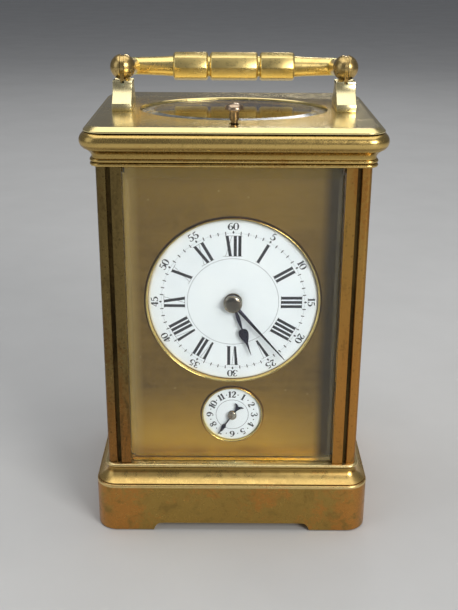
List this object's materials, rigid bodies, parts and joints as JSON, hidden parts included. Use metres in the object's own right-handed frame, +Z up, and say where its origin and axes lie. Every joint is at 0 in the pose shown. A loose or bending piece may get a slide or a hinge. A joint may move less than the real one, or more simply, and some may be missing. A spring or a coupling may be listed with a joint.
{
  "type": "carriage clock",
  "caption": "Glazed brass carriage clock with moulded base and cornice, folding handle, enamel dial, alarm dial and repeat button.",
  "frame": {"origin": "middle of the base's underside", "axes": "+Z up, dial facing -Y, +X to the right when looking at the dial"},
  "size_m": [0.093, 0.076, 0.155],
  "materials": {
    "case_brass": "aged polished brass with tarnish",
    "polished_brass": "polished brass",
    "movement_brass": "grained brass",
    "gilt_mask": "satin gilt",
    "steel": "polished steel",
    "blued_steel": "blued steel",
    "enamel": "fired white enamel, glossy",
    "glass": "clear bevelled glass"
  },
  "bodies": {
    "case": {"base_plinth": "case_brass", "pillar_front_left": "case_brass", "pillar_front_right": "case_brass", "pillar_back_left": "case_brass", "pillar_back_right": "case_brass", "cornice": "case_brass", "top_plate": "polished_brass", "oval_glass": "glass", "front_glass": "glass", "left_glass": "glass", "right_glass": "glass", "handle_post_left": "case_brass", "handle_post_right": "case_brass", "handle_pin_left": "steel", "handle_pin_right": "steel", "mask": "gilt_mask", "main_dial": "enamel", "main_bezel": "polished_brass", "alarm_dial": "enamel", "alarm_bezel": "polished_brass", "front_plate": "movement_brass", "back_plate": "movement_brass", "movement_pillar_lower_left": "movement_brass", "movement_pillar_lower_right": "movement_brass", "movement_pillar_upper_left": "movement_brass", "movement_pillar_upper_right": "movement_brass", "base_screw_front_left": "steel", "base_screw_front_right": "steel", "base_screw_back_left": "steel", "base_screw_back_right": "steel", "platform": "movement_brass", "balance_cock": "movement_brass", "gong": "blued_steel", "gong_block": "movement_brass"},
    "handle": {"handle_bail": "polished_brass"},
    "rear_door": {"rear_door_frame": "case_brass", "rear_door_glass": "glass", "door_pin_lower": "steel", "door_pin_upper": "steel"},
    "door_knob": {"door_knob": "case_brass"},
    "repeat_button": {"repeat_button": "steel"},
    "centre_arbor": {"centre_wheel": "movement_brass", "cannon_pinion": "steel", "minute_hand": "blued_steel", "minute_hand_collet": "steel"},
    "hour_work": {"hour_wheel": "movement_brass", "hour_hand": "blued_steel"},
    "minute_work": {"minute_wheel": "movement_brass"},
    "going_barrel": {"going_barrel": "movement_brass"},
    "third_wheel": {"third_wheel": "movement_brass"},
    "contrate_wheel": {"contrate_wheel": "movement_brass"},
    "escape_wheel": {"escape_wheel": "steel"},
    "balance_wheel": {"balance_wheel": "movement_brass"},
    "alarm": {"alarm_arbor": "movement_brass", "alarm_hand": "blued_steel", "alarm_collet": "steel"},
    "strike_barrel": {"strike_barrel": "movement_brass"},
    "strike_wheel": {"strike_wheel": "movement_brass"},
    "fly": {"fly": "movement_brass"},
    "hammer": {"hammer": "steel"}
  },
  "joints": [
    {"name": "handle_fold", "type": "hinge", "parent": "case", "child": "handle", "pos_m": [0, 0, 0.1508], "axis": [1, 0, 0], "range_deg": [0, 180]},
    {"name": "rear_door_swing", "type": "hinge", "parent": "case", "child": "rear_door", "pos_m": [0.032, 0.0324, 0.0745], "axis": [0, 0, -1], "range_deg": [0, 105]},
    {"name": "door_knob_turn", "type": "hinge", "parent": "rear_door", "child": "door_knob", "pos_m": [-0.0304, 0.033, 0.0745], "axis": [0, 1, 0], "range_deg": [0, 90]},
    {"name": "repeat_press", "type": "slide", "parent": "case", "child": "repeat_button", "axis": [0, 0, -1], "range_m": [0, 0.0025], "stiffness_N_per_m": 150, "springref_m": -0.001},
    {"name": "minute_hand_turn", "type": "hinge", "parent": "case", "child": "centre_arbor", "pos_m": [0, -0.0294, 0.0803], "axis": [0, 1, 0], "continuous": true},
    {"name": "hour_hand_turn", "type": "hinge", "parent": "case", "child": "hour_work", "pos_m": [0, -0.0287, 0.0803], "axis": [0, 1, 0], "continuous": true},
    {"name": "minute_wheel_turn", "type": "hinge", "parent": "case", "child": "minute_work", "pos_m": [0.00849, -0.022, 0.08879], "axis": [0, 1, 0], "continuous": true},
    {"name": "going_barrel_turn", "type": "hinge", "parent": "case", "child": "going_barrel", "pos_m": [-0.0155, 0, 0.07145], "axis": [0, 1, 0], "continuous": true},
    {"name": "third_wheel_turn", "type": "hinge", "parent": "case", "child": "third_wheel", "pos_m": [-0.0085, 0.0119, 0.09008], "axis": [0, 1, 0], "continuous": true},
    {"name": "contrate_wheel_turn", "type": "hinge", "parent": "case", "child": "contrate_wheel", "pos_m": [0, 0.003, 0.09889], "axis": [0, 1, 0], "continuous": true},
    {"name": "escape_wheel_turn", "type": "hinge", "parent": "case", "child": "escape_wheel", "pos_m": [0, 0.0072, 0.1156], "axis": [0, 0, 1], "continuous": true},
    {"name": "balance_swing", "type": "hinge", "parent": "case", "child": "balance_wheel", "pos_m": [-0.009, -0.005, 0.118], "axis": [0, 0, 1], "range_deg": [-135, 135], "stiffness_Nm_per_rad": 0.00001},
    {"name": "alarm_hand_turn", "type": "hinge", "parent": "case", "child": "alarm", "pos_m": [0, -0.0287, 0.0397], "axis": [0, 1, 0], "continuous": true},
    {"name": "strike_barrel_turn", "type": "hinge", "parent": "case", "child": "strike_barrel", "pos_m": [0.017, 0, 0.0675], "axis": [0, 1, 0], "continuous": true},
    {"name": "strike_wheel_turn", "type": "hinge", "parent": "case", "child": "strike_wheel", "pos_m": [0.0139, 0.0119, 0.08508], "axis": [0, 1, 0], "continuous": true},
    {"name": "fly_turn", "type": "hinge", "parent": "case", "child": "fly", "pos_m": [0.02038, 0, 0.0928], "axis": [0, 1, 0], "continuous": true},
    {"name": "hammer_lift", "type": "hinge", "parent": "case", "child": "hammer", "pos_m": [0.024, 0.018, 0.103], "axis": [0, 1, 0], "range_deg": [-12, 0], "stiffness_Nm_per_rad": 0.01, "springref_deg": 2.86}
  ],
  "couplings": [
    {"joint": "hour_hand_turn", "follows": "minute_hand_turn", "ratio": 0.083333},
    {"joint": "minute_wheel_turn", "follows": "minute_hand_turn", "ratio": -0.33333},
    {"joint": "going_barrel_turn", "follows": "minute_hand_turn", "ratio": -0.16667},
    {"joint": "third_wheel_turn", "follows": "minute_hand_turn", "ratio": -8},
    {"joint": "contrate_wheel_turn", "follows": "minute_hand_turn", "ratio": 60},
    {"joint": "strike_wheel_turn", "follows": "strike_barrel_turn", "ratio": -6},
    {"joint": "fly_turn", "follows": "strike_barrel_turn", "ratio": 36}
  ]
}
